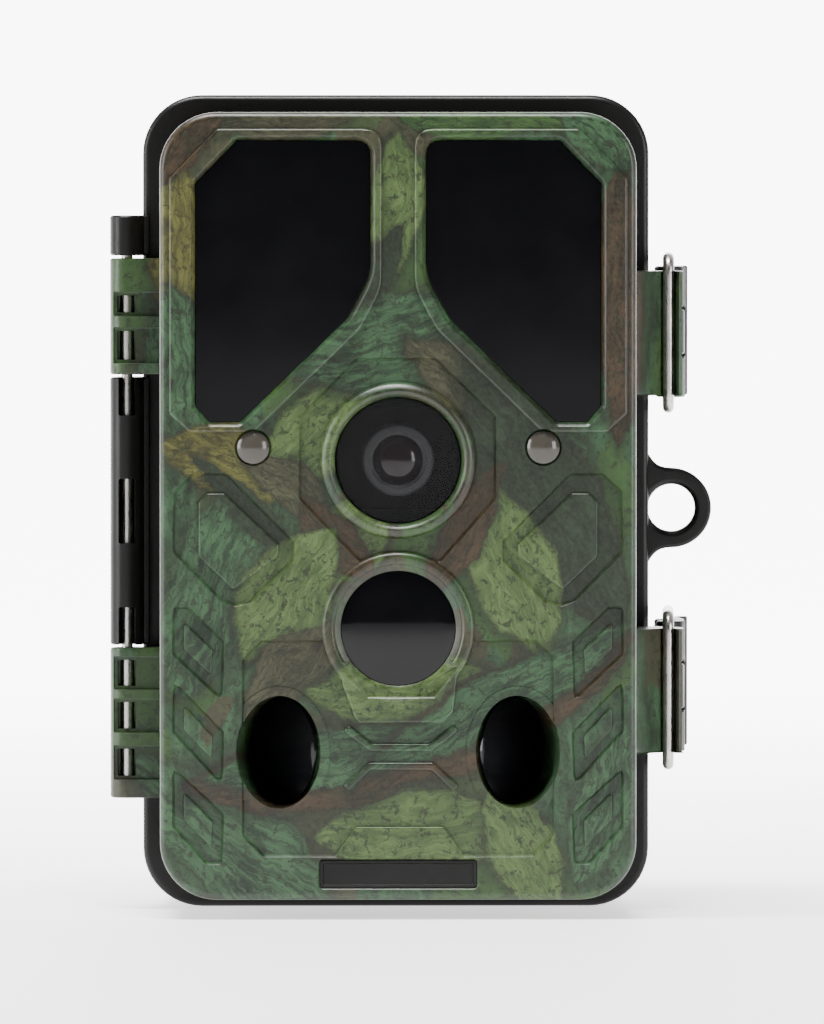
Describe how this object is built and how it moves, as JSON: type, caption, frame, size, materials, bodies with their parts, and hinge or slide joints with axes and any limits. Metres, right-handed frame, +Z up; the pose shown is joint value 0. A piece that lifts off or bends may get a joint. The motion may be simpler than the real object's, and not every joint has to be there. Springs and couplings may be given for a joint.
{
  "type": "trail camera",
  "caption": "Camouflaged trail camera with infrared windows, lens, motion sensors, a cover that opens on a side hinge and wire-bail latches.",
  "frame": {"origin": "on the flat base of the rear half, on the symmetry plane of the cover, 8 mm behind the plane where the halves meet", "axes": "+Z up, the lens faces -Y, +X towards the latches"},
  "size_m": [0.107, 0.0742, 0.1445],
  "materials": {
    "camouflage": "satin moulded plastic with a printed leaf and bark camouflage",
    "black_plastic": "fine textured black moulding",
    "dark_acrylic": "polished black infrared-passing acrylic",
    "dark_glass": "polished dark tinted glass",
    "grey_panel": "matt dark grey moulding",
    "rubber": "matt black rubber",
    "steel": "drawn stainless steel",
    "brass": "turned brass",
    "circuit_board": "green solder mask",
    "cell_wrap": "printed film, plain"
  },
  "bodies": {
    "rear_half": {"rear_shell": "black_plastic", "housing_gasket": "rubber", "hinge_pin": "steel", "tripod_insert": "brass", "battery_tray": "black_plastic", "battery_cell_1": "cell_wrap", "battery_cell_2": "cell_wrap", "battery_cell_3": "cell_wrap", "battery_cell_4": "cell_wrap", "battery_cell_5": "cell_wrap", "battery_cell_6": "cell_wrap", "battery_cell_7": "cell_wrap", "battery_cell_8": "cell_wrap", "battery_contacts_bottom": "steel", "battery_contacts_middle": "steel", "battery_contacts_top": "steel", "dc_jack": "black_plastic", "lever_pin_upper": "steel", "lever_pin_lower": "steel"},
    "front_cover": {"front_shell": "camouflage", "ir_window_left": "dark_acrylic", "ir_window_right": "dark_acrylic", "pir_lens_centre": "dark_acrylic", "pir_lens_right": "dark_acrylic", "pir_lens_left": "dark_acrylic", "status_led_dome": "dark_glass", "light_sensor_dome": "dark_glass", "badge_plate": "black_plastic", "lens_window": "dark_glass", "lens_barrel": "black_plastic", "lens_front_element": "dark_glass", "lens_holder": "black_plastic", "image_sensor_board": "circuit_board", "ir_led_board_left": "circuit_board", "ir_led_board_right": "circuit_board", "pir_sensor_centre": "steel", "pir_sensor_right": "steel", "pir_sensor_left": "steel", "inner_panel": "grey_panel", "lcd_module": "black_plastic", "lcd_window": "dark_glass", "main_board": "circuit_board", "card_socket": "steel", "usb_port": "steel", "speaker": "black_plastic"},
    "upper_lever": {"latch_lever_upper": "black_plastic"},
    "upper_bail": {"latch_bail_upper": "steel"},
    "lower_lever": {"latch_lever_lower": "black_plastic"},
    "lower_bail": {"latch_bail_lower": "steel"},
    "menu_button": {"menu_button": "rubber"},
    "ok_button": {"ok_button": "rubber"},
    "up_button": {"up_button": "rubber"},
    "down_button": {"down_button": "rubber"},
    "left_button": {"left_button": "rubber"},
    "right_button": {"right_button": "rubber"},
    "mode_switch": {"mode_switch_knob": "black_plastic"},
    "card": {"memory_card": "black_plastic"},
    "cut_filter": {"ir_cut_filter": "dark_glass"},
    "plug": {"jack_plug": "rubber"}
  },
  "joints": [
    {"name": "cover_hinge", "type": "hinge", "parent": "rear_half", "child": "front_cover", "pos_m": [-0.0478, -0.0115, 0.07225], "axis": [0, 0, -1], "range_deg": [0, 170]},
    {"name": "upper_lever_hinge", "type": "hinge", "parent": "rear_half", "child": "upper_lever", "pos_m": [0.049, -0.002, 0.1023], "axis": [0, 0, -1], "range_deg": [0, 110]},
    {"name": "upper_bail_hinge", "type": "hinge", "parent": "upper_lever", "child": "upper_bail", "pos_m": [0.049, 0.006, 0.1023], "axis": [0, 0, 1], "range_deg": [0, 154.5], "deforming": ["latch_bail_upper"]},
    {"name": "lower_lever_hinge", "type": "hinge", "parent": "rear_half", "child": "lower_lever", "pos_m": [0.049, -0.002, 0.039], "axis": [0, 0, -1], "range_deg": [0, 110]},
    {"name": "lower_bail_hinge", "type": "hinge", "parent": "lower_lever", "child": "lower_bail", "pos_m": [0.049, 0.006, 0.039], "axis": [0, 0, 1], "range_deg": [0, 154.5], "deforming": ["latch_bail_lower"]},
    {"name": "menu_button_press", "type": "slide", "parent": "front_cover", "child": "menu_button", "axis": [0, -1, 0], "range_m": [0, 0.0008], "stiffness_N_per_m": 500},
    {"name": "ok_button_press", "type": "slide", "parent": "front_cover", "child": "ok_button", "axis": [0, -1, 0], "range_m": [0, 0.0008], "stiffness_N_per_m": 500},
    {"name": "up_button_press", "type": "slide", "parent": "front_cover", "child": "up_button", "axis": [0, -1, 0], "range_m": [0, 0.0008], "stiffness_N_per_m": 500},
    {"name": "down_button_press", "type": "slide", "parent": "front_cover", "child": "down_button", "axis": [0, -1, 0], "range_m": [0, 0.0008], "stiffness_N_per_m": 500},
    {"name": "left_button_press", "type": "slide", "parent": "front_cover", "child": "left_button", "axis": [0, -1, 0], "range_m": [0, 0.0008], "stiffness_N_per_m": 500},
    {"name": "right_button_press", "type": "slide", "parent": "front_cover", "child": "right_button", "axis": [0, -1, 0], "range_m": [0, 0.0008], "stiffness_N_per_m": 500},
    {"name": "mode_switch_slide", "type": "slide", "parent": "front_cover", "child": "mode_switch", "axis": [0, 0, 1], "range_m": [-0.005, 0.005]},
    {"name": "card_push", "type": "slide", "parent": "front_cover", "child": "card", "axis": [0, -1, 0], "range_m": [0, 0.001], "stiffness_N_per_m": 300},
    {"name": "cut_filter_slide", "type": "slide", "parent": "front_cover", "child": "cut_filter", "axis": [1, 0, 0], "range_m": [0, 0.005]},
    {"name": "plug_pull", "type": "slide", "parent": "rear_half", "child": "plug", "axis": [1, 0, 0], "range_m": [0, 0.008]}
  ],
  "couplings": [
    {"joint": "upper_bail_hinge", "follows": "upper_lever_hinge", "ratio": 1.4},
    {"joint": "lower_bail_hinge", "follows": "lower_lever_hinge", "ratio": 1.4}
  ]
}
